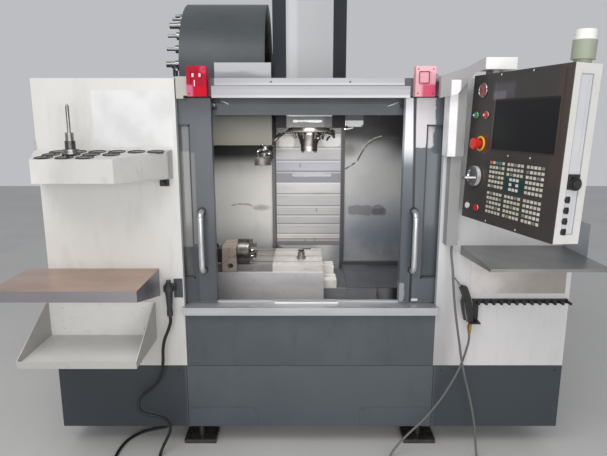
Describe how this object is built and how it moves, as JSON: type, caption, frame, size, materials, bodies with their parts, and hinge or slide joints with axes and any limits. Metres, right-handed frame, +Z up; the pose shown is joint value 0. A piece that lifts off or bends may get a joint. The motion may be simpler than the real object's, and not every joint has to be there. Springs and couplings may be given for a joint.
{
  "type": "vertical machining center",
  "caption": "Compact vertical machining centre with a two-door enclosure, three slides, a spindle head, a side tool changer and an operator's pendant.",
  "frame": {"origin": "middle of the four floor anchor holes, on the floor", "axes": "+X to the right along the table, +Y to the rear, +Z up along the spindle"},
  "size_m": [2.385, 2.7553, 2.26],
  "materials": {
    "cast_paint": "painted casting",
    "steel": "ground steel",
    "dark_paint": "satin",
    "stainless": "brushed sheet",
    "white_paint": "fine texture",
    "black_plastic": "matte",
    "motor_paint": "satin",
    "ground_iron": "ground",
    "grey_paint": "satin",
    "beige_paint": "satin",
    "cream_paint": "satin",
    "window_glass": "laminated",
    "black_rubber": "matte",
    "grey_rubber": "matte",
    "panel_plastic": "matte",
    "key_plastic": "matte",
    "green_plastic": "gloss",
    "red_plastic": "gloss",
    "white_plastic": "gloss",
    "chrome": "polished"
  },
  "bodies": {
    "machine": {"base_casting": "cast_paint", "column_casting": "cast_paint", "leveling_feet": "steel", "lower_panels": "dark_paint", "front_trims": "stainless", "header_beam": "dark_paint", "front_panel_left": "white_paint", "front_panel_right": "white_paint", "outer_panels": "white_paint", "inner_liners": "stainless", "electrical_cabinet": "white_paint", "linear_guides": "steel", "axis_motors": "motor_paint", "z_way_cover": "stainless", "atc_cover": "dark_paint", "atc_shroud": "cream_paint", "atc_frame": "cast_paint", "tool_tray": "white_paint", "tray_tool": "steel", "side_shelf": "stainless", "parts_bin": "white_paint", "washdown_gun": "black_plastic", "washdown_hose": "black_rubber", "pendant_boom": "grey_paint", "work_tray": "stainless", "air_gun": "black_plastic", "air_hose": "grey_rubber"},
    "cabinet_door": {"cabinet_door": "white_paint"},
    "main_switch": {"main_switch": "black_plastic"},
    "y_screw": {"y_ballscrew": "steel"},
    "x_screw": {"x_ballscrew": "steel"},
    "z_screw": {"z_ballscrew": "steel"},
    "saddle": {"saddle": "cast_paint"},
    "table": {"table": "ground_iron", "table_apron": "grey_paint", "rotary_unit": "beige_paint", "tool_probe": "steel"},
    "chuck": {"rotary_chuck": "steel"},
    "head": {"head_casting": "cast_paint", "head_cover": "dark_paint", "spindle_motor": "motor_paint", "coolant_ring": "steel"},
    "spindle": {"spindle": "steel"},
    "carousel": {"tool_carousel": "motor_paint"},
    "arm_shaft": {"arm_shaft": "steel"},
    "swap_arm": {"swap_arm": "steel"},
    "door_left": {"door_left": "dark_paint", "window_left": "window_glass"},
    "door_right": {"door_right": "dark_paint", "window_right": "window_glass"},
    "pendant": {"pendant_housing": "white_paint", "pendant_face": "panel_plastic", "pendant_keypad": "key_plastic"},
    "power_on": {"power_on": "green_plastic"},
    "power_off": {"power_off": "red_plastic"},
    "e_stop": {"e_stop": "red_plastic"},
    "cycle_start": {"cycle_start": "white_plastic"},
    "feed_hold": {"feed_hold": "red_plastic"},
    "jog_wheel": {"jog_wheel": "chrome"},
    "gun_lever": {"air_gun_lever": "black_plastic"}
  },
  "joints": [
    {"name": "y_axis", "type": "slide", "parent": "machine", "child": "saddle", "axis": [0, 1, 0], "range_m": [-0.327, 0.079]},
    {"name": "x_axis", "type": "slide", "parent": "saddle", "child": "table", "axis": [1, 0, 0], "range_m": [0, 0.762]},
    {"name": "z_axis", "type": "slide", "parent": "machine", "child": "head", "axis": [0, 0, 1], "range_m": [-0.508, 0], "deforming": ["z_way_cover"]},
    {"name": "y_screw_turn", "type": "hinge", "parent": "machine", "child": "y_screw", "pos_m": [0, -0.45, 0.478], "axis": [0, 1, 0], "continuous": true},
    {"name": "x_screw_turn", "type": "hinge", "parent": "table", "child": "x_screw", "pos_m": [-0.381, -0.316, 0.6325], "axis": [1, 0, 0], "continuous": true},
    {"name": "z_screw_turn", "type": "hinge", "parent": "machine", "child": "z_screw", "pos_m": [0, 0.03, 1.4], "axis": [0, 0, 1], "continuous": true},
    {"name": "spindle_turn", "type": "hinge", "parent": "head", "child": "spindle", "pos_m": [0, -0.44, 1.4], "axis": [0, 0, 1], "continuous": true},
    {"name": "chuck_turn", "type": "hinge", "parent": "table", "child": "chuck", "pos_m": [-0.36, -0.48, 0.806], "axis": [1, 0, 0], "continuous": true},
    {"name": "carousel_turn", "type": "hinge", "parent": "machine", "child": "carousel", "pos_m": [-0.567, -0.1, 1.75], "axis": [1, 0, 0], "continuous": true},
    {"name": "arm_lift", "type": "slide", "parent": "machine", "child": "arm_shaft", "axis": [0, 0, 1], "range_m": [-0.11, 0]},
    {"name": "arm_swing", "type": "hinge", "parent": "arm_shaft", "child": "swap_arm", "pos_m": [-0.235, -0.44, 1.31], "axis": [0, 0, 1], "range_deg": [0, 270]},
    {"name": "door_left_slide", "type": "slide", "parent": "machine", "child": "door_left", "axis": [1, 0, 0], "range_m": [0, 0.419]},
    {"name": "door_right_slide", "type": "slide", "parent": "machine", "child": "door_right", "axis": [1, 0, 0], "range_m": [-0.399, 0]},
    {"name": "pendant_swing", "type": "hinge", "parent": "machine", "child": "pendant", "pos_m": [0.73471, -1.09861, 1.4], "axis": [0, 0, 1], "range_deg": [-8, 40]},
    {"name": "power_on_press", "type": "slide", "parent": "pendant", "child": "power_on", "axis": [0.9678, 0.2485, -0.0401], "range_m": [0, 0.004], "stiffness_N_per_m": 800},
    {"name": "power_off_press", "type": "slide", "parent": "pendant", "child": "power_off", "axis": [0.9678, 0.2485, -0.0401], "range_m": [0, 0.004], "stiffness_N_per_m": 800},
    {"name": "cycle_start_press", "type": "slide", "parent": "pendant", "child": "cycle_start", "axis": [0.9678, 0.2485, -0.0401], "range_m": [0, 0.004], "stiffness_N_per_m": 800},
    {"name": "feed_hold_press", "type": "slide", "parent": "pendant", "child": "feed_hold", "axis": [0.9678, 0.2485, -0.0401], "range_m": [0, 0.004], "stiffness_N_per_m": 800},
    {"name": "e_stop_press", "type": "slide", "parent": "pendant", "child": "e_stop", "axis": [0.9678, 0.2485, -0.0401], "range_m": [0, 0.0035]},
    {"name": "jog_wheel_turn", "type": "hinge", "parent": "pendant", "child": "jog_wheel", "pos_m": [0.65301, -1.19987, 1.29057], "axis": [0.9678, 0.2485, -0.0401], "continuous": true},
    {"name": "gun_lever_squeeze", "type": "hinge", "parent": "machine", "child": "gun_lever", "pos_m": [0.674, -1.096, 0.753], "axis": [0, -1, 0], "range_deg": [0, 3], "stiffness_Nm_per_rad": 2},
    {"name": "cabinet_door_hinge", "type": "hinge", "parent": "machine", "child": "cabinet_door", "pos_m": [-0.757, 1.059, 1.19], "axis": [0, 0, 1], "range_deg": [0, 120]},
    {"name": "main_switch_turn", "type": "hinge", "parent": "cabinet_door", "child": "main_switch", "pos_m": [0.56, 1.07, 1.5], "axis": [0, -1, 0], "range_deg": [0, 90]}
  ],
  "couplings": [
    {"joint": "y_screw_turn", "follows": "y_axis", "rad_per_m": 628.32},
    {"joint": "x_screw_turn", "follows": "x_axis", "rad_per_m": 628.32},
    {"joint": "z_screw_turn", "follows": "z_axis", "rad_per_m": 628.32}
  ]
}
